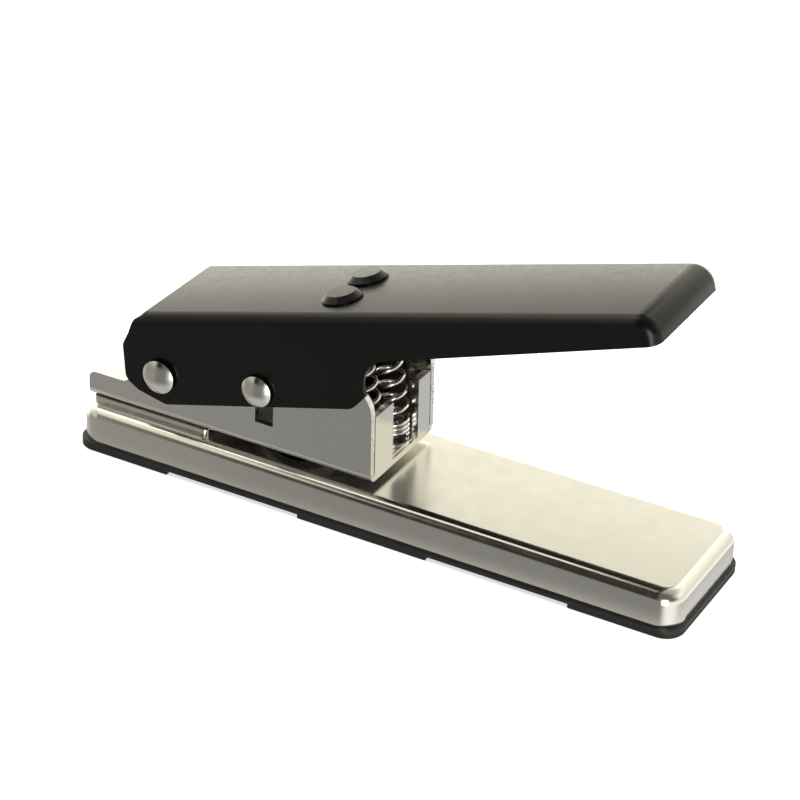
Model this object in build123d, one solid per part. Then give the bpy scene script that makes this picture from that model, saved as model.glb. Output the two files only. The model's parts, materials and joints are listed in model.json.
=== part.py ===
"""Desk punch that cuts plectrum-shaped blanks out of plastic card.

A pressed base tray stands on a clipped plastic cover with three rubber feet.
A folded frame is riveted to the base over a spacer strip, which leaves a card
slot between the frame and the tray. A channel-shaped lever pivots on a rivet at
the rear of the frame. A second rivet in the lever runs in a slot on each side of
the frame and drives the punch block down through the die, and two coil springs
lift the lever again.

Units are millimetres. The origin is on the ground under the centre of the base,
+X points to the front, where the lever is pressed, and +Z points up.
"""
import os
from math import asin, atan2, cos, degrees, hypot, radians, sin, tan

from build123d import *

os.makedirs("parts", exist_ok=True)

# ---------------------------------------------------------------- base
base_length = 167.5
base_width = 39.0
base_top = 11.9
shell_bottom = 2.3
shell_sheet = 1.2
shell_corner = 5.8
shell_shoulder = 3.2
cover_bottom = 1.3
cover_overhang = 0.6
cover_corner = 5.2
cover_wall = 1.2
foot_edge_chamfer = 0.3
end_foot_length = 27.5
middle_foot_rear = 65.8
middle_foot_length = 36.0

# ---------------------------------------------------------------- frame
card_slot = 1.9
frame_width = 32.5
frame_sheet = 1.8
frame_bend = 2.4
frame_rear = 1.6
frame_front = 83.9
frame_rear_height = 7.2
frame_step_front = 13.6
frame_slope_front = 18.0
frame_front_radius = 7.4
frame_wall_height = 25.9
post_height = 17.7
front_lean = 1.6
window_right = 5.1
window_left = 8.0
window_sill = 15.4
seam_gap = 0.35
spacer_rear = 2.4
spacer_front = 36.6
spacer_width = 31.6

# ---------------------------------------------------------------- lever
lever_width = 35.4
lever_sheet = 1.2
lever_fold = 3.0
lever_nose = 5.2
lever_angle = 15.87
pivot_height = 26.85
pivot_from_rear = 24.06
pivot_to_top = 16.2
lever_front = 139.2
flange_bottom = -7.95

# ---------------------------------------------------------------- pins and rivets
pivot_diameter = 5.0
pivot_head_diameter = 8.9
drive_diameter = 3.0
drive_head_diameter = 8.2
drive_from_rear = 52.45
drive_height = 31.35
drive_slot_rear = 50.85
drive_slot_front = 56.0
drive_slot_bottom = 21.3
dome_height = 1.6
dome_rim = 0.3
collar_height = 0.8
collar_diameter = 6.8
running_clearance = 0.05
side_gap = 0.1
slot_length_clearance = 1.5
slot_end_clearance = 0.1

# ---------------------------------------------------------------- punch and die
blank_length = 30.0
blank_width = 26.0
blank_tip_radius = 3.0
blank_shoulder_radius = 8.0
punch_bottom = 14.1
punch_top = 36.5
guide_clearance = 0.15
die_clearance = 0.1
shell_hole_clearance = 0.3
die_plate_length = 46.0
die_plate_width = 32.4
die_plate_thickness = 3.0
chute_length = 33.0
chute_width = 29.0

# ---------------------------------------------------------------- fixings of the base
rivet_shank = 3.0
rivet_head = 4.8
rivet_head_height = 1.5
rivet_tail_height = 1.2
die_rivet_tail_height = 0.8
frame_rivets_from_rear = (8.0, 25.0)
frame_rivet_across = 9.0
screw_diameter = 3.0
screw_head_diameter = 5.4
recess_length = 2.8
recess_width = 0.7
recess_depth = 0.8
boss_diameter = 6.0
die_fixing_along = 20.5
die_rivet_across = 13.2
cover_screw_across = 7.0

# ---------------------------------------------------------------- springs
spring_outer = 8.4
spring_wire = 1.2
spring_turns = 10.0
spring_across = 6.3
spring_foot_from_rear = 77.8
spring_seat_along_lever = 51.1
spring_stud = 2.6
spring_peg_diameter = 3.6
spring_peg_chamfer = 0.5
spring_end_gap = 0.9
spring_peg_length = 4.0
spring_rivet_diameter = 10.3
spring_rivet_height = 1.8
spring_rivet_slope_height = 1.3
spring_rivet_slope_width = 1.5

# ---------------------------------------------------------------- worked-out places
frame_bottom = base_top + card_slot
plate_top = frame_bottom + frame_sheet
frame_half = frame_width / 2
lever_half = lever_width / 2
die_top = base_top - shell_sheet
die_bottom = die_top - die_plate_thickness
inner_half_length = base_length / 2 - shell_sheet
inner_half_width = base_width / 2 - shell_sheet
drive_slot_top = drive_height + drive_diameter / 2 + slot_end_clearance
drive_reach = hypot(drive_from_rear - pivot_from_rear, drive_height - pivot_height)
drive_turn = atan2(drive_height - pivot_height, drive_from_rear - pivot_from_rear) - radians(lever_angle)


def from_rear(distance):
    """X of a point that lies this far in front of the base's rear edge."""
    return distance - base_length / 2


def on_lever(solid):
    """Turn a solid drawn level, with the pivot at the origin, into its raised place."""
    return Pos(from_rear(pivot_from_rear), 0, pivot_height) * Rot(0, -lever_angle, 0) * solid


def side_slab(corners, width):
    """Slab across the punch whose X-Z outline has (x, z, radius) corners."""
    points = [(x, z) for x, z, _ in corners]
    radii = [radius for _, _, radius in corners]
    outline = FilletPolyline(*points, radius=radii, close=True)
    return extrude(Plane.XZ * make_face(outline.edges()), width / 2, both=True)


def plan_slab(length, width, corner, bottom, top):
    """Rounded rectangle lying flat between two heights, centred on the origin."""
    return Pos(0, 0, bottom) * extrude(RectangleRounded(length, width, corner), top - bottom)


def block(x_low, x_high, y_low, y_high, z_low, z_high):
    """Plain box between two corners."""
    corner = Pos(x_low, y_low, z_low)
    box = Box(x_high - x_low, y_high - y_low, z_high - z_low, align=(Align.MIN, Align.MIN, Align.MIN))
    return corner * box


def upright(diameter, height):
    """Round rod standing on the X-Y plane, on the Z axis."""
    return Cylinder(diameter / 2, height, align=(Align.CENTER, Align.CENTER, Align.MIN))


def rod_along_y(diameter, half_length):
    """Round rod on the Y axis, centred on the origin."""
    return Rot(90, 0, 0) * Cylinder(diameter / 2, 2 * half_length)


def dome(diameter, height, rim=0.0):
    """Shallow round rivet head standing on the X-Y plane, on a rim of even width."""
    rise = height - rim
    radius = (diameter**2 / 4 + rise**2) / (2 * rise)
    ball = Pos(0, 0, height - radius) * Sphere(radius)
    return ball & upright(diameter, height)


def cross_rivet(diameter, head_diameter, half_length):
    """Rivet along Y whose shank carries a collar and a domed head at each end."""
    shank = rod_along_y(diameter, half_length)
    head = upright(collar_diameter, collar_height)
    head += Pos(0, 0, collar_height) * dome(head_diameter, dome_height, dome_rim)
    near_head = Pos(0, -half_length, 0) * Rot(90, 0, 0) * head
    far_head = Pos(0, half_length, 0) * Rot(-90, 0, 0) * head
    return shank + near_head + far_head


def blank_outline(growth=0.0):
    """Plectrum outline with its tip to the rear, grown outwards by a clearance."""
    tip = Pos(blank_tip_radius - blank_length / 2, 0) * Circle(blank_tip_radius + growth)
    across = blank_width / 2 - blank_shoulder_radius
    along = blank_length / 2 - blank_shoulder_radius
    shoulders = [
        Pos(along, side * across) * Circle(blank_shoulder_radius + growth) for side in (-1, 1)
    ]
    return make_hull((tip + shoulders).edges())


def blank_prism(bottom, top, growth=0.0):
    """Upright plectrum-shaped solid at the punching place."""
    return Pos(from_rear(drive_from_rear), 0, bottom) * extrude(blank_outline(growth), top - bottom)


# ---------------------------------------------------------------- base parts
def make_base_shell():
    """Pressed tray, open below, with rounded shoulders and a hole for the blank."""
    outer = plan_slab(base_length, base_width, shell_corner, shell_bottom, base_top)
    outer = fillet(outer.faces().sort_by(Axis.Z)[-1].edges(), shell_shoulder)
    inner = plan_slab(
        2 * inner_half_length, 2 * inner_half_width, shell_corner - shell_sheet, shell_bottom, die_top
    )
    inner = fillet(inner.faces().sort_by(Axis.Z)[-1].edges(), shell_shoulder - shell_sheet)
    shell = outer - inner - blank_prism(die_top - 1, base_top + 1, shell_hole_clearance)
    for place in frame_rivet_places + die_rivet_places:
        shell -= place * upright(rivet_shank, base_top + 1)
    return shell


def make_die_plate():
    """Hardened plate under the tray's top, with the cutting hole."""
    x_centre = from_rear(drive_from_rear)
    plate = Pos(x_centre, 0, 0) * plan_slab(
        die_plate_length, die_plate_width, 2.0, die_bottom, die_top
    )
    plate -= blank_prism(die_bottom - 1, die_top + 1, die_clearance)
    for place in die_rivet_places:
        plate -= place * upright(rivet_shank, base_top)
    for place in cover_screw_places:
        plate -= place * upright(screw_diameter, base_top)
    return plate


def make_base_cover():
    """Plastic bottom cover with a chute and four screw bosses that reach the die plate."""
    plate = plan_slab(
        base_length + 2 * cover_overhang, base_width + 2 * cover_overhang,
        cover_corner, cover_bottom, shell_bottom,
    )
    centre = Pos(from_rear(drive_from_rear), 0, 0)
    chute = centre * plan_slab(
        chute_length + 2 * cover_wall, chute_width + 2 * cover_wall, 3.0, shell_bottom, die_bottom
    )
    cover = plate + chute
    for place in cover_screw_places:
        cover += place * Pos(0, 0, shell_bottom) * upright(boss_diameter, die_bottom - shell_bottom)
    cover -= centre * plan_slab(chute_length, chute_width, 2.0, 0, base_top)
    for place in cover_screw_places:
        cover -= place * screw_shape(running_clearance)
    return cover


def make_foot(x_low, x_high):
    """Rubber foot that follows the cover's outline between two places along the base."""
    whole = plan_slab(
        base_length + 2 * cover_overhang, base_width + 2 * cover_overhang, cover_corner, 0, cover_bottom
    )
    foot = whole & block(x_low, x_high, -base_width, base_width, 0, cover_bottom)
    foot = chamfer(foot.faces().sort_by(Axis.Z)[0].edges(), foot_edge_chamfer)
    centre = Pos(from_rear(drive_from_rear), 0, 0)
    return foot - centre * plan_slab(chute_length, chute_width, 2.0, -1, base_top)


# ---------------------------------------------------------------- screws and rivets of the base
frame_rivet_places = [
    Pos(from_rear(along), side * frame_rivet_across, 0)
    for along in frame_rivets_from_rear
    for side in (-1, 1)
]
die_rivet_places = [
    Pos(from_rear(drive_from_rear + along), across, 0)
    for along in (-die_fixing_along, die_fixing_along)
    for across in (-die_rivet_across, die_rivet_across)
]
cover_screw_places = [
    Pos(from_rear(drive_from_rear + along), across, 0)
    for along in (-die_fixing_along, die_fixing_along)
    for across in (-cover_screw_across, cover_screw_across)
]


def screw_shape(growth=0.0):
    """Countersunk screw from the cover's underside up into the die plate."""
    head_height = (screw_head_diameter - screw_diameter) / 2
    shank = upright(screw_diameter + 2 * growth, die_top - cover_bottom)
    head = Cone(
        screw_head_diameter / 2 + growth, screw_diameter / 2 + growth, head_height,
        align=(Align.CENTER, Align.CENTER, Align.MIN),
    )
    return Pos(0, 0, cover_bottom) * (shank + head)


def make_cover_screws():
    """Four countersunk screws, each with a cross recess."""
    screw = screw_shape()
    recess = Box(recess_length, recess_width, 2 * recess_depth)
    for turn in (0, 90):
        screw -= Pos(0, 0, cover_bottom) * Rot(0, 0, turn) * recess
    return Compound([place * screw for place in cover_screw_places])


def make_die_rivets():
    """Four rivets that hold the die plate to the tray, flush with its top."""
    bottom = die_bottom - die_rivet_tail_height
    rivet = upright(rivet_shank, base_top - bottom) + upright(rivet_head, die_rivet_tail_height)
    return Compound([place * Pos(0, 0, bottom) * rivet for place in die_rivet_places])


def make_frame_rivets():
    """Four rivets through the frame's floor, the spacer strip and the tray."""
    bottom = die_top - rivet_tail_height
    rivet = upright(rivet_shank, plate_top - bottom) + upright(rivet_head, rivet_tail_height)
    rivet += Pos(0, 0, plate_top - bottom) * dome(rivet_head, rivet_head_height)
    return Compound([place * Pos(0, 0, bottom) * rivet for place in frame_rivet_places])


# ---------------------------------------------------------------- frame parts
def spring_foot_place(side):
    """Place of a spring's foot, at ground height."""
    return Pos(from_rear(spring_foot_from_rear), side * spring_across, 0)


def make_spacer_strip():
    """Strip that holds the frame up and stops the card."""
    length = spacer_front - spacer_rear
    centre = Pos(from_rear(spacer_rear + length / 2), 0, 0)
    strip = centre * plan_slab(length, spacer_width, 1.6, base_top, frame_bottom)
    for place in frame_rivet_places:
        strip -= place * upright(rivet_shank, plate_top)
    return strip


def make_frame():
    """One folded sheet: a floor, two side walls and a front wall with a window."""
    rear = from_rear(frame_rear)
    front = from_rear(frame_front)
    wall_top = frame_bottom + frame_wall_height
    outer = block(rear, front, -frame_half, frame_half, frame_bottom, wall_top)
    outer = fillet(outer.edges().filter_by(Axis.X).sort_by(Axis.Z)[:2], frame_bend)
    hollow_half = frame_half - frame_sheet
    wall_gap_half = hollow_half - seam_gap
    hollow = block(rear - 1, front + 1, -hollow_half, hollow_half, plate_top, wall_top + 1)
    hollow = fillet(hollow.edges().filter_by(Axis.X).sort_by(Axis.Z)[:2], frame_bend - frame_sheet)
    post_top = frame_bottom + post_height
    posts = block(front - frame_sheet, front, -wall_gap_half, wall_gap_half, frame_bottom, post_top)
    posts -= block(front - 5, front + 5, -window_right, window_left, window_sill, wall_top)
    hinge_line = Pos(front, 0, frame_bottom)
    posts = hinge_line * Rot(0, -front_lean, 0) * hinge_line.inverse() * posts
    floor_cut = block(
        front - frame_sheet / 2, front + 1, -wall_gap_half, wall_gap_half, frame_bottom - 1, wall_top
    )
    frame = outer - hollow - floor_cut + posts
    step_height = frame_bottom + frame_rear_height
    front_top = front - frame_wall_height * tan(radians(front_lean))
    frame &= side_slab(
        [
            (rear, frame_bottom, 1.4),
            (rear, step_height, 2.0),
            (from_rear(frame_step_front), step_height, 3.0),
            (from_rear(frame_slope_front), wall_top - 0.3, 4.0),
            (front_top, wall_top, frame_front_radius),
            (front, frame_bottom, 0.0),
        ],
        2 * frame_width,
    )
    pivot_place = Pos(from_rear(pivot_from_rear), 0, pivot_height)
    frame -= pivot_place * rod_along_y(pivot_diameter, frame_width)
    frame -= block(
        from_rear(drive_slot_rear), from_rear(drive_slot_front), -frame_width, frame_width,
        drive_slot_bottom, drive_slot_top,
    )
    frame -= blank_prism(frame_bottom - 1, plate_top + 1, guide_clearance)
    for place in frame_rivet_places:
        frame -= place * upright(rivet_shank, plate_top + 1)
    for side in (-1, 1):
        frame -= spring_foot_place(side) * upright(spring_stud, plate_top + 1)
    return frame


def make_pivot_rivet():
    """Rivet that the lever turns on, fixed in the frame."""
    rivet = cross_rivet(pivot_diameter, pivot_head_diameter, lever_half + side_gap)
    return Pos(from_rear(pivot_from_rear), 0, pivot_height) * rivet


def make_spring_peg(side):
    """Stud in the frame's floor that keeps a spring's foot in place."""
    peg = upright(spring_peg_diameter, spring_peg_length)
    peg = chamfer(peg.faces().sort_by(Axis.Z)[-1].edges(), spring_peg_chamfer)
    stud = upright(spring_stud, frame_sheet)
    return spring_foot_place(side) * (Pos(0, 0, plate_top) * peg + Pos(0, 0, frame_bottom) * stud)


# ---------------------------------------------------------------- lever parts
drive_place = Pos(drive_reach * cos(drive_turn), 0, drive_reach * sin(drive_turn))


def lever_block(inset):
    """Solid with the lever's folded top, sides and nose, shrunk all round by the inset."""
    half = lever_half - inset
    solid = block(-60, lever_front - inset, -half, half, -60, pivot_to_top - inset)
    nose_edge = solid.edges().filter_by(Axis.Y).sort_by(Axis.Z)[-2:].sort_by(Axis.X)[-1]
    solid = fillet(nose_edge, lever_nose - inset)
    side_faces = solid.faces().filter_by(Axis.Y)
    side_edges = [
        edge
        for face in side_faces
        for edge in face.edges()
        if edge.center().X > -59 and edge.center().Z > -59
    ]
    return fillet(side_edges, lever_fold - inset)


def make_lever():
    """Pressed channel, open at the rear, with deep cheeks around the frame."""
    lever = (lever_block(0) - lever_block(lever_sheet)) & side_slab(
        [
            (-1.8, pivot_to_top + 5, 0.0),
            (-1.8, pivot_to_top - 0.4, 1.2),
            (-4.4, pivot_to_top - 1.2, 1.6),
            (-6.9, 11.3, 1.5),
            (-9.3, 8.6, 3.5),
            (-10.95, -0.8, 3.0),
            (-8.0, -4.0, 3.0),
            (-0.6, flange_bottom, 3.0),
            (54.5, flange_bottom, 4.5),
            (59.2, -4.6, 0.8),
            (58.2, 4.2, 8.0),
            (72.0, 5.1, 12.0),
            (lever_front + 5, 9.7, 0.0),
            (lever_front + 5, pivot_to_top + 5, 0.0),
        ],
        2 * lever_width,
    )
    lever -= rod_along_y(pivot_diameter + 2 * running_clearance, lever_width)
    lever -= drive_place * rod_along_y(drive_diameter, lever_width)
    stud_hole = upright(spring_stud, pivot_to_top + 1)
    for side in (-1, 1):
        lever -= Pos(spring_seat_along_lever, side * spring_across, 0) * stud_hole
    return on_lever(lever)


def make_drive_rivet():
    """Rivet in the lever that runs in the frame's slots and pushes the punch."""
    return on_lever(drive_place * cross_rivet(drive_diameter, drive_head_diameter, lever_half))


def make_spring_rivet(side):
    """Rivet through the lever's top with a flat cone head, whose stem seats a spring."""
    head = upright(spring_rivet_diameter, spring_rivet_height)
    top = head.faces().sort_by(Axis.Z)[-1]
    head = chamfer(top.edges(), spring_rivet_slope_width, spring_rivet_slope_height, reference=top)
    peg = upright(spring_peg_diameter, spring_peg_length)
    peg = chamfer(peg.faces().sort_by(Axis.Z)[0].edges(), spring_peg_chamfer)
    underside = pivot_to_top - lever_sheet
    rivet = Pos(0, 0, pivot_to_top) * head
    rivet += Pos(0, 0, underside) * upright(spring_stud, lever_sheet)
    rivet += Pos(0, 0, underside - spring_peg_length) * peg
    return on_lever(Pos(spring_seat_along_lever, side * spring_across, 0) * rivet)


# ---------------------------------------------------------------- moving core
def make_punch_block():
    """Plectrum-shaped cutter with a cross slot for the drive rivet."""
    punch = blank_prism(punch_bottom, punch_top)
    cross_slot = Box(
        drive_diameter + slot_length_clearance, 2 * blank_width, drive_diameter + 2 * running_clearance
    )
    return punch - Pos(from_rear(drive_from_rear), 0, drive_height) * cross_slot


def make_spring(side):
    """Return spring from the frame's floor up to the lever's underside."""
    foot = Vector(from_rear(spring_foot_from_rear), 0, plate_top)
    seat = on_lever(Pos(spring_seat_along_lever, 0, pivot_to_top - lever_sheet) * Vertex(0, 0, 0))
    lean = seat.center() - foot
    coil_height = lean.length - 2 * spring_end_gap - spring_wire
    line = Helix(coil_height / spring_turns, coil_height, (spring_outer - spring_wire) / 2)
    coil = sweep(Plane(line @ 0, z_dir=line % 0) * Circle(spring_wire / 2), path=line, is_frenet=True)
    tilt = degrees(asin(lean.X / lean.length))
    raised = Pos(0, 0, spring_end_gap + spring_wire / 2) * coil
    return Pos(foot.X, side * spring_across, foot.Z) * Rot(0, tilt, 0) * raised


foot_places = {
    "foot_rear": (-cover_overhang, end_foot_length),
    "foot_middle": (middle_foot_rear, middle_foot_rear + middle_foot_length),
    "foot_front": (base_length - end_foot_length, base_length + cover_overhang),
}

parts = {
    "base_shell": make_base_shell(),
    "base_cover": make_base_cover(),
    "die_plate": make_die_plate(),
    "die_rivets": make_die_rivets(),
    "cover_screws": make_cover_screws(),
    "spacer_strip": make_spacer_strip(),
    "frame": make_frame(),
    "frame_rivets": make_frame_rivets(),
    "pivot_rivet": make_pivot_rivet(),
    "lever": make_lever(),
    "drive_rivet": make_drive_rivet(),
    "punch_block": make_punch_block(),
}
for name, (x_low, x_high) in foot_places.items():
    parts[name] = make_foot(from_rear(x_low), from_rear(x_high))
for name, side in (("right", -1), ("left", 1)):
    parts[f"spring_{name}"] = make_spring(side)
    parts[f"spring_peg_{name}"] = make_spring_peg(side)
    parts[f"spring_rivet_{name}"] = make_spring_rivet(side)

for name, solid in parts.items():
    export_step(solid, f"parts/{name}.step")
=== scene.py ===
"""Desk plectrum punch: materials, springs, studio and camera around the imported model."""
import json
from math import cos, pi, radians, sin

import bpy
from mathutils import Matrix, Vector


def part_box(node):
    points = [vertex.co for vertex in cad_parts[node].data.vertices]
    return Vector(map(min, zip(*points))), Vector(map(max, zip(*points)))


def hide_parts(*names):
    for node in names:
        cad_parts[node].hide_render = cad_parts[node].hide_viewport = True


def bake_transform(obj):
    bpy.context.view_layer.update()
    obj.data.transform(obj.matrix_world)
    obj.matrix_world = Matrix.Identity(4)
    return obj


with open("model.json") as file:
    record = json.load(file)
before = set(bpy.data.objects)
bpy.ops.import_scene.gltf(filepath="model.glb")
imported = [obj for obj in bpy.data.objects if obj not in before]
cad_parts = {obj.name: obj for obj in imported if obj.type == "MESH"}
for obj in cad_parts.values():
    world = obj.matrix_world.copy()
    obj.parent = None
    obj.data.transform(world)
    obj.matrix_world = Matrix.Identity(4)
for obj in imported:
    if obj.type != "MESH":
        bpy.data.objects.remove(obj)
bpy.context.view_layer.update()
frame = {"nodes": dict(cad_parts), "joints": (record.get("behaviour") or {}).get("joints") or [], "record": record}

MM = 0.001
LEVER_ANGLE = radians(15.87)             # tilt of the lever at rest

# Springs.
SPRING_SEAT = (51.1 * MM, 15.0 * MM)     # along and above the pivot, in the lever's own directions
COIL_RADIUS = 3.6 * MM
WIRE_RADIUS = 0.6 * MM
FRAME_SHEET = 1.8 * MM
CLOSED_LOW = 3.0                         # touching turns at the foot
CLOSED_HIGH = 1.5                        # touching turns under the lever
OPEN_TURNS = 9.0
STEPS_PER_TURN = 36
WIRE_SIDES = 10

# Surfaces.
CROWN = 2.4              # how fast the lever's top falls away across its width, per metre
BOW = 12.0               # how fast the tray's walls fall away above and below their middle, per metre
BOW_HEIGHT = 0.007       # height of the fullest part of those walls
WALL_INSIDE = 0.0143     # half the clear width between the frame's walls
FLAT_TOP = (0.985, 0.999)                # upward part of the normal where the flat top starts and is full
SHEARED_EDGE = 0.93                      # forward part of the normal on the frame's cut front edges

pivot = Vector(next(j for j in frame["joints"] if j["name"] == "lever_press")["pos_m"])
lever_along = Vector((cos(LEVER_ANGLE), 0, sin(LEVER_ANGLE)))
lever_up = Vector((-sin(LEVER_ANGLE), 0, cos(LEVER_ANGLE)))


# ---------------------------------------------------------------- node helpers
MIX_FACTOR, MIX_FIRST, MIX_SECOND = 0, 6, 7      # a Mix node's inputs when it mixes colours
MIX_RESULT = 2                                   # and its output


class Nodes:
    """A node tree with short calls for the nodes that materials and the world share."""

    def __init__(self, tree):
        self.tree = tree

    def node(self, kind, **settings):
        made = self.tree.nodes.new(kind)
        for key, value in settings.items():
            setattr(made, key, value)
        return made

    def link(self, source, target):
        self.tree.links.new(source, target)

    def give(self, value, socket):
        """Set a number or a colour on a socket, or link another node's output to it."""
        if isinstance(value, (int, float)):
            socket.default_value = value
        elif isinstance(value, tuple):
            socket.default_value = (*value, 1)
        else:
            self.link(value, socket)

    def split(self, vector):
        """X, Y and Z of a vector."""
        parts = self.node("ShaderNodeSeparateXYZ")
        self.link(vector, parts.inputs["Vector"])
        return [parts.outputs[axis] for axis in "XYZ"]

    def math(self, operation, *values):
        made = self.node("ShaderNodeMath", operation=operation)
        for socket, value in zip(made.inputs, values):
            self.give(value, socket)
        return made.outputs["Value"]

    def mix(self, factor, first, second):
        """First colour where the factor is 0, second where it is 1."""
        mix = self.node("ShaderNodeMix", data_type="RGBA")
        for index, value in ((MIX_FACTOR, factor), (MIX_FIRST, first), (MIX_SECOND, second)):
            self.give(value, mix.inputs[index])
        return mix.outputs[MIX_RESULT]


class Shader(Nodes):
    """A material, with calls that set its colour, roughness and bumps."""

    def __init__(self, name):
        self.material = bpy.data.materials.new(name)
        self.material.use_nodes = True
        super().__init__(self.material.node_tree)
        self.bsdf = self.tree.nodes["Principled BSDF"]
        self.place = self.node("ShaderNodeTexCoord").outputs["Object"]

    def set(self, **values):
        for key, value in values.items():
            self.bsdf.inputs[key.replace("_", " ")].default_value = value

    def noise(self, scale, detail=3.0, stretch=(1, 1, 1), roughness=0.5):
        mapping = self.node("ShaderNodeMapping")
        mapping.inputs["Scale"].default_value = stretch
        self.link(self.place, mapping.inputs["Vector"])
        noise = self.node("ShaderNodeTexNoise")
        noise.inputs["Scale"].default_value = scale
        noise.inputs["Detail"].default_value = detail
        noise.inputs["Roughness"].default_value = roughness
        self.link(mapping.outputs["Vector"], noise.inputs["Vector"])
        return noise.outputs["Fac"]

    def spread(self, value, low, high, start=0.3, end=0.7):
        """Map start..end of a value onto low..high."""
        span = self.node("ShaderNodeMapRange")
        span.inputs["From Min"].default_value = start
        span.inputs["From Max"].default_value = end
        span.inputs["To Min"].default_value = low
        span.inputs["To Max"].default_value = high
        self.link(value, span.inputs["Value"])
        return span.outputs["Result"]

    def colours(self, value, low, high):
        ramp = self.node("ShaderNodeValToRGB")
        ramp.color_ramp.elements[0].color = (*low, 1)
        ramp.color_ramp.elements[1].color = (*high, 1)
        self.link(value, ramp.inputs["Fac"])
        return ramp.outputs["Color"]

    def blend(self, factor, first, second):
        """First value where the factor is 0, second where it is 1."""
        mix = self.node("ShaderNodeMix")
        for name, value in (("Factor", factor), ("A", first), ("B", second)):
            self.link(value, mix.inputs[name])
        return mix.outputs["Result"]

    def colour(self, value):
        self.link(value, self.bsdf.inputs["Base Color"])

    def roughness(self, value):
        self.link(value, self.bsdf.inputs["Roughness"])

    def bump(self, height, distance, strength=1.0, under=None):
        """Raise the surface by height times distance, in metres, on top of another bump."""
        bump = self.node("ShaderNodeBump")
        bump.inputs["Distance"].default_value = distance
        bump.inputs["Strength"].default_value = strength
        self.link(height, bump.inputs["Height"])
        if under is not None:
            self.link(under, bump.inputs["Normal"])
        self.link(bump.outputs["Normal"], self.bsdf.inputs["Normal"])
        return bump.outputs["Normal"]


# ---------------------------------------------------------------- materials
def polished_nickel():
    """Bright plating, a little duller on the flat top, over walls that bow out slightly."""
    s = Shader("polished_nickel")
    s.set(Metallic=1.0)
    s.colour(s.colours(s.noise(45, detail=4), (0.735, 0.715, 0.655), (0.765, 0.745, 0.69)))
    height = s.split(s.place)[2]
    upward = s.split(s.node("ShaderNodeNewGeometry").outputs["Normal"])[2]
    flat = s.spread(upward, 0.0, 1.0, *FLAT_TOP)
    haze = s.noise(240, detail=4)
    s.roughness(s.blend(flat, s.spread(haze, 0.13, 0.18), s.spread(haze, 0.21, 0.26)))
    above = s.math("SUBTRACT", height, BOW_HEIGHT)
    bowed = s.bump(s.math("MULTIPLY", above, above), -BOW)
    waves = s.bump(s.noise(60, detail=1), 0.00003, 0.5, under=bowed)
    s.bump(s.noise(2500, detail=2, stretch=(0.05, 1, 1)), 0.000004, 0.4, under=waves)
    return s.material


def satin_nickel():
    """Duller plating on folded sheet, with a fine grain; its sheared front edges are torn steel, speckled dark
    grey with painted glints of near white.
    """
    s = Shader("satin_nickel")
    s.set(Metallic=1.0)
    across = s.split(s.place)[1]
    forward = s.split(s.node("ShaderNodeNewGeometry").outputs["Normal"])[0]
    outer = s.math("GREATER_THAN", s.math("ABSOLUTE", across), WALL_INSIDE)
    sheared = s.math("MULTIPLY", outer, s.math("GREATER_THAN", forward, SHEARED_EDGE))
    plating = s.colours(s.noise(70, detail=5), (0.70, 0.69, 0.655), (0.75, 0.74, 0.705))
    # Painted glints: near-white speckles on the sheared edges stand in for the sparkle of torn steel; the dark
    # grey speckles are the torn steel's own colour.
    sparkle = s.spread(s.noise(3200, detail=2), 0.0, 1.0, 0.40, 0.55)
    torn_edge_and_glints = s.colours(sparkle, (0.32, 0.31, 0.29), (0.98, 0.97, 0.95))
    s.colour(s.mix(sheared, plating, torn_edge_and_glints))
    grain = s.spread(s.noise(420, detail=4), 0.12, 0.22)
    torn_grain = s.spread(s.noise(2600, detail=3), 0.25, 0.5)
    s.roughness(s.blend(sheared, grain, torn_grain))
    fine = s.bump(s.noise(3200, detail=3), 0.000006, 0.5)
    burr = s.math("MULTIPLY", sheared, s.noise(2200, detail=2))
    s.bump(burr, 0.0003, 0.6, under=fine)
    return s.material


def rivet_nickel():
    """Bright plating on the rivets, with soft hammer marks."""
    s = Shader("rivet_nickel")
    s.set(Metallic=1.0)
    s.colour(s.colours(s.noise(300, detail=4), (0.60, 0.59, 0.555), (0.70, 0.69, 0.655)))
    s.roughness(s.spread(s.noise(900, detail=3), 0.12, 0.20))
    s.bump(s.noise(420, detail=2), 0.00003, 0.5)
    return s.material


def black_enamel():
    """Satin black stoving enamel on a slightly crowned sheet, with a fine orange-peel surface."""
    s = Shader("black_enamel")
    s.set(IOR=1.345, Specular_Tint=(1.0, 0.97, 0.92, 1))
    s.colour(s.colours(s.noise(90, detail=4), (0.0010, 0.0010, 0.0010), (0.0022, 0.0022, 0.0022)))
    s.roughness(s.spread(s.noise(500, detail=4), 0.25, 0.31))
    across = s.split(s.place)[1]
    crown = s.bump(s.math("MULTIPLY", across, across), -CROWN)
    peel = s.bump(s.noise(1600, detail=2), 0.000004, 0.5, under=crown)
    s.bump(s.noise(6000, detail=2), 0.000002, 0.5, under=peel)
    return s.material


def spring_wire():
    """Bright drawn wire with faint lines along it."""
    s = Shader("spring_wire")
    s.set(Metallic=1.0)
    s.colour(s.colours(s.noise(500, detail=3), (0.60, 0.58, 0.53), (0.72, 0.70, 0.65)))
    s.roughness(s.spread(s.noise(1500, detail=3), 0.12, 0.24))
    s.bump(s.noise(4000, detail=2), 0.000006, 0.5)
    return s.material


def tool_steel():
    """Blued and oiled tool steel with fine grinding lines."""
    s = Shader("tool_steel")
    s.set(Metallic=1.0)
    s.colour(s.colours(s.noise(120, detail=5), (0.03, 0.03, 0.03), (0.055, 0.054, 0.052)))
    lines = s.noise(1800, detail=3, stretch=(1, 1, 0.03))
    s.roughness(s.spread(lines, 0.25, 0.4))
    s.bump(lines, 0.00001, 0.6)
    return s.material


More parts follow.
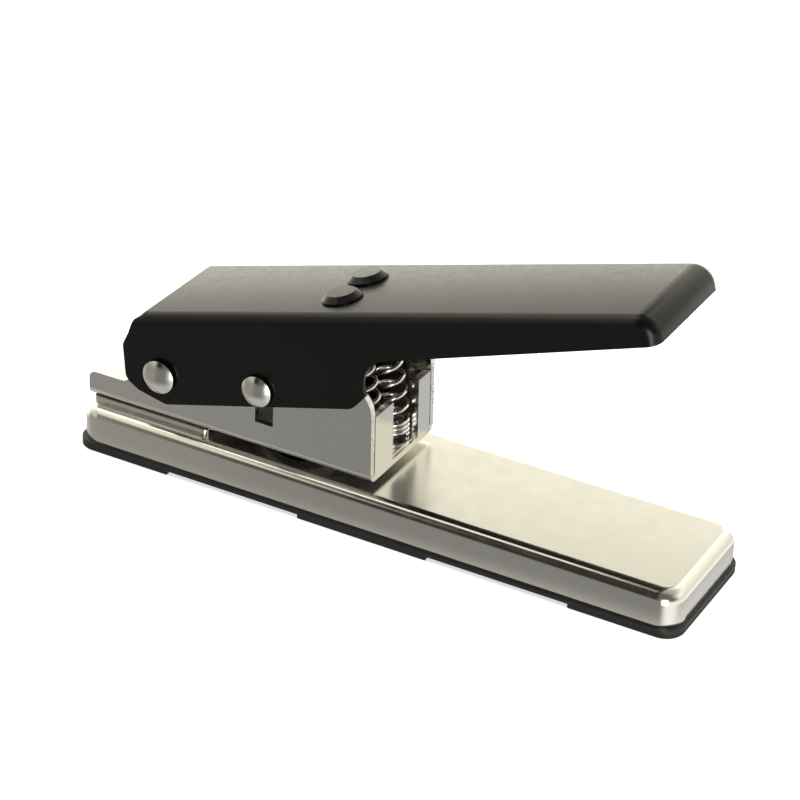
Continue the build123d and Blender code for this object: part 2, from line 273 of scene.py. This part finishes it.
def zinc_screw():
    """Zinc-plated screw heads."""
    s = Shader("zinc_screw")
    s.set(Metallic=1.0)
    s.colour(s.colours(s.noise(600, detail=4), (0.52, 0.53, 0.54), (0.66, 0.67, 0.68)))
    s.roughness(s.spread(s.noise(1300, detail=3), 0.2, 0.34))
    s.bump(s.noise(3000, detail=2), 0.000006, 0.4)
    return s.material


def black_plastic():
    """Moulded plastic with a fine spark-eroded grain."""
    s = Shader("black_plastic")
    s.set(IOR=1.45)
    s.colour(s.colours(s.noise(200, detail=4), (0.007, 0.007, 0.007), (0.011, 0.011, 0.011)))
    s.roughness(s.spread(s.noise(800, detail=4), 0.42, 0.56))
    s.bump(s.noise(4500, detail=3), 0.00001, 0.6)
    return s.material


def black_rubber():
    """Moulded rubber, a little dusty."""
    s = Shader("black_rubber")
    s.set(IOR=1.42)
    s.colour(s.colours(s.noise(260, detail=5), (0.006, 0.006, 0.006), (0.012, 0.012, 0.012)))
    s.roughness(s.spread(s.noise(700, detail=4), 0.6, 0.75))
    s.bump(s.noise(3500, detail=3), 0.00002, 0.7)
    return s.material


slot_materials = {
    "polished_nickel": polished_nickel(),
    "satin_nickel": satin_nickel(),
    "rivet_nickel": rivet_nickel(),
    "black_enamel": black_enamel(),
    "spring_wire": spring_wire(),
    "tool_steel": tool_steel(),
    "zinc_screw": zinc_screw(),
    "black_plastic": black_plastic(),
    "black_rubber": black_rubber(),
}
for subpart in frame["record"]["subparts"]:
    node = frame["nodes"][subpart["node"]]
    for slot in node.material_slots:
        slot.material = slot_materials[subpart["material_slot"]]


# ---------------------------------------------------------------- springs
def spring_line(foot, seat, share):
    """Point and direction on the spring's bent centre line, share running from 0 to 1."""
    reach = (seat - foot).length / 3
    points = (foot, foot + Vector((0, 0, reach)), seat - lever_up * reach, seat)
    back = 1 - share
    place = (
        points[0] * back**3 + points[1] * 3 * back**2 * share
        + points[2] * 3 * back * share**2 + points[3] * share**3
    )
    way = (
        (points[1] - points[0]) * 3 * back**2 + (points[2] - points[1]) * 6 * back * share
        + (points[3] - points[2]) * 3 * share**2
    )
    return place, way.normalized()


def make_spring(name, across):
    """Coil spring that stands straight on the frame and meets the tilted lever squarely."""
    foot_low, foot_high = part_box(f"spring_peg_{name}")
    foot = Vector(((foot_low[0] + foot_high[0]) / 2, across, foot_low[2] + FRAME_SHEET))
    seat = pivot + lever_along * SPRING_SEAT[0] + lever_up * SPRING_SEAT[1]
    seat.y = across
    turns = CLOSED_LOW + OPEN_TURNS + CLOSED_HIGH
    length = (seat - foot).length
    wire = 2 * WIRE_RADIUS / length
    low_end = wire / 2 + CLOSED_LOW * wire
    high_start = 1 - wire / 2 - CLOSED_HIGH * wire
    verts = []
    steps = round(turns * STEPS_PER_TURN)
    for step in range(steps + 1):
        turn = step / STEPS_PER_TURN
        if turn < CLOSED_LOW:
            share = wire / 2 + turn * wire
        elif turn > turns - CLOSED_HIGH:
            share = 1 - wire / 2 - (turns - turn) * wire
        else:
            share = low_end + (high_start - low_end) * (turn - CLOSED_LOW) / OPEN_TURNS
        place, way = spring_line(foot, seat, share)
        side = Vector((0, 1, 0))
        front = side.cross(way)
        angle = 2 * pi * turn
        outward = front * cos(angle) + side * sin(angle)
        centre = place + outward * COIL_RADIUS
        for corner in range(WIRE_SIDES):
            around = 2 * pi * corner / WIRE_SIDES
            verts.append(centre + outward * WIRE_RADIUS * cos(around) + way * WIRE_RADIUS * sin(around))
    faces = []
    for step in range(steps):
        low = step * WIRE_SIDES
        high = low + WIRE_SIDES
        for corner in range(WIRE_SIDES):
            following = (corner + 1) % WIRE_SIDES
            faces.append((low + corner, low + following, high + following, high + corner))
    faces.append(tuple(reversed(range(WIRE_SIDES))))
    faces.append(tuple(range(steps * WIRE_SIDES, (steps + 1) * WIRE_SIDES)))
    mesh = bpy.data.meshes.new(f"coil_{name}")
    mesh.from_pydata(verts, [], faces)
    mesh.polygons.foreach_set("use_smooth", [True] * len(mesh.polygons))
    mesh.update()
    spring = bpy.data.objects.new(f"coil_{name}", mesh)
    bpy.context.collection.objects.link(spring)
    mesh.materials.append(slot_materials["spring_wire"])
    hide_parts(f"spring_{name}")
    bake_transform(spring)


for name in ("left", "right"):
    low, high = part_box(f"spring_peg_{name}")
    make_spring(name, (low[1] + high[1]) / 2)


# ---------------------------------------------------------------- studio
def area_light(name, place, target, size, brightness, colour=(1, 1, 1), in_reflections=True):
    """Soft box of this size in metres, whose surface shines with this brightness."""
    light = bpy.data.lights.new(name, "AREA")
    light.shape = "RECTANGLE"
    light.size, light.size_y = size
    light.energy = brightness * pi * size[0] * size[1]
    light.color = colour
    holder = bpy.data.objects.new(name, light)
    holder.location = place
    holder.rotation_euler = (Vector(target) - Vector(place)).to_track_quat("-Z", "Y").to_euler()
    holder.visible_glossy = in_reflections
    bpy.context.collection.objects.link(holder)
    return holder


def ceiling_light(name, x_range, y_range, height, brightness, colour):
    """Soft box facing straight down, given by its edges."""
    centre = ((x_range[0] + x_range[1]) / 2, (y_range[0] + y_range[1]) / 2, height)
    size = (x_range[1] - x_range[0], y_range[1] - y_range[0])
    light = area_light(name, centre, (centre[0], centre[1], 0), size, brightness, colour)
    light.rotation_euler = (0, 0, 0)
    return light


class World(Nodes):
    """A world whose light depends on direction."""

    def __init__(self, name):
        self.world = bpy.data.worlds.new(name)
        self.world.use_nodes = True
        super().__init__(self.world.node_tree)
        self.tree.nodes.clear()
        self.direction = self.node("ShaderNodeTexCoord").outputs["Generated"]

    def fade(self, value, start, end):
        """Smooth step from 0 at start to 1 at end."""
        step = self.node("ShaderNodeMapRange", interpolation_type="SMOOTHSTEP")
        step.inputs["From Min"].default_value = start
        step.inputs["From Max"].default_value = end
        self.link(value, step.inputs["Value"])
        return step.outputs["Result"]

    def ramp(self, value, stops):
        """Colour by a value between -1 and 1."""
        shift = self.node("ShaderNodeMapRange")
        shift.inputs["From Min"].default_value = -1
        shift.inputs["From Max"].default_value = 1
        self.link(value, shift.inputs["Value"])
        made = self.node("ShaderNodeValToRGB")
        while len(made.color_ramp.elements) < len(stops):
            made.color_ramp.elements.new(0.5)
        for element, (position, colour) in zip(made.color_ramp.elements, stops):
            element.position = (position + 1) / 2
            element.color = (*colour, 1)
        self.link(shift.outputs["Result"], made.inputs["Fac"])
        return made.outputs["Color"]

    def shine(self, colour):
        """Use this colour as the scene's light."""
        background = self.node("ShaderNodeBackground")
        self.link(colour, background.inputs["Color"])
        output = self.node("ShaderNodeOutputWorld")
        self.link(background.outputs["Background"], output.inputs["Surface"])
        bpy.context.scene.world = self.world


def make_world():
    """Light tent: brightest low down behind, grey in front, with a dark seam over the top.

    Every fade runs over the x, y or z of a direction, from its first number to its second.
    """
    w = World("studio")
    x, y, z = w.split(w.direction)
    table = w.mix(w.fade(x, -0.38, -0.54), FRONT_LOW, FRONT_LEFT)
    table = w.mix(w.fade(z, -0.56, -0.80), table, BESIDE)
    low = w.mix(w.fade(x, 0.05, 0.55), table, TABLE_GLOW)
    high = w.mix(w.fade(x, -0.44, -0.62), OPERATOR, LEFT_WALL)
    front = w.mix(w.fade(z, 0.0, 0.35), low, high)
    back = w.mix(w.fade(x, -0.10, 0.35), w.ramp(z, BACKDROP), w.ramp(z, BACKDROP_RIGHT))
    tent = w.mix(w.fade(y, -0.40, 0.30), front, back)
    between = w.math("MULTIPLY", w.fade(x, -0.51, -0.42), w.fade(x, -0.10, -0.22))
    overhead = w.math("SUBTRACT", z, w.math("MULTIPLY", y, SEAM_SLOPE))
    seam = w.math("MULTIPLY", between, w.fade(overhead, 0.36, 0.44))
    w.shine(w.mix(seam, tent, SEAM))


def flat_sheet(name, half_x, half_y, height):
    """Rectangle on the floor, centred under the punch."""
    mesh = bpy.data.meshes.new(name)
    signs = ((-1, -1), (1, -1), (1, 1), (-1, 1))
    corners = [(x_sign * half_x, y_sign * half_y, height) for x_sign, y_sign in signs]
    mesh.from_pydata(corners, [], [(0, 1, 2, 3)])
    sheet = bpy.data.objects.new(name, mesh)
    bpy.context.collection.objects.link(sheet)
    return sheet


def make_floor():
    """Plain white floor, lit from within so that only a faint shadow shows."""
    floor = flat_sheet("floor", 6.0, 6.0, 0.0)
    s = Shader("floor")
    s.set(Base_Color=(0.9, 0.9, 0.9, 1), Roughness=0.9)
    s.set(Emission_Color=(1, 1, 1, 1), Emission_Strength=0.6)
    floor.data.materials.append(s.material)
    floor.visible_glossy = False


def make_shade():
    """Painted shadow: a dark sheet on the floor under the base stands in for the shade there, so that no light
    comes up through the die.
    """
    shade = flat_sheet("shade", 0.078, 0.014, 0.0002)
    s = Shader("shade")
    s.set(Base_Color=(0.01, 0.01, 0.01, 1), Roughness=0.9)
    shade.data.materials.append(s.material)


# Brightness of each part of the tent, as red, green and blue.
FRONT_LOW = (0.27, 0.27, 0.262)
FRONT_LEFT = (0.38, 0.37, 0.34)
BESIDE = (0.65, 0.64, 0.60)
TABLE_GLOW = (1.2, 1.2, 1.15)
LEFT_WALL = (0.75, 0.73, 0.65)
OPERATOR = (0.16, 0.155, 0.14)
SEAM = (0.03, 0.027, 0.02)
SEAM_SLOPE = 0.19        # how much higher the seam starts towards the back
# The backdrop from low to high: z of the direction and the brightness there.
BACKDROP = [
    (-0.44, (0.60, 0.60, 0.585)),
    (-0.20, (1.90, 1.88, 1.75)),
    (0.0, (3.10, 3.00, 2.60)),
    (0.10, (2.90, 2.80, 2.40)),
    (0.22, (1.62, 1.57, 1.34)),
    (0.33, (1.60, 1.55, 1.34)),
    (0.50, (1.80, 1.755, 1.50)),
    (0.65, (1.80, 1.755, 1.53)),
    (0.90, (0.55, 0.55, 0.53)),
]
BACKDROP_RIGHT = [
    (-0.62, (0.85, 0.85, 0.82)),
    (-0.44, (0.58, 0.58, 0.57)),
    (-0.20, (1.35, 1.32, 1.20)),
    (0.10, (0.95, 0.94, 0.88)),
    (0.40, (1.15, 1.13, 1.00)),
    (0.60, (1.35, 1.31, 1.14)),
    (0.90, (0.55, 0.55, 0.53)),
]
WARM = (1.0, 0.97, 0.86)
make_world()
make_floor()
make_shade()
area_light(
    "fill", place=(0.0, -0.1, 0.9), target=(0, 0, 0.03), size=(0.9, 0.9), brightness=2.4,
    in_reflections=False,
)
ceiling_light(
    "strip", x_range=(-0.50, -0.11), y_range=(-0.14, 0.11), height=0.55, brightness=1.3, colour=WARM
)
ceiling_light(
    "side_panel", x_range=(-0.46, -0.31), y_range=(-0.57, -0.157), height=0.55, brightness=0.85,
    colour=WARM,
)
area_light(
    "lamp", place=(0.388, -0.62, 0.04), target=(0.08, 0, 0.01), size=(0.32, 0.56), brightness=5.0
)


# ---------------------------------------------------------------- camera
def make_camera():
    """Camera that looks down on the front right, with a small roll."""
    turn, height, roll = radians(27.262), radians(29.434), radians(2.843)
    target = Vector((-4.948, 7.146, 24.936)) * MM
    distance = 684.452 * MM
    back = Vector((sin(turn) * cos(height), -cos(turn) * cos(height), sin(height)))
    level = (-back).cross(Vector((0, 0, 1))).normalized()
    upright = level.cross(-back)
    right = level * cos(roll) + upright * sin(roll)
    up = upright * cos(roll) - level * sin(roll)
    camera = bpy.data.cameras.new("camera")
    camera.lens = 123.664
    camera.sensor_width = 36.0
    camera.clip_start = 0.01
    holder = bpy.data.objects.new("camera", camera)
    turned = Matrix((right, up, back)).transposed().to_4x4()
    holder.matrix_world = Matrix.Translation(target + back * distance) @ turned
    bpy.context.collection.objects.link(holder)
    bpy.context.scene.camera = holder


make_camera()
bpy.context.scene.view_settings.view_transform = "Standard"
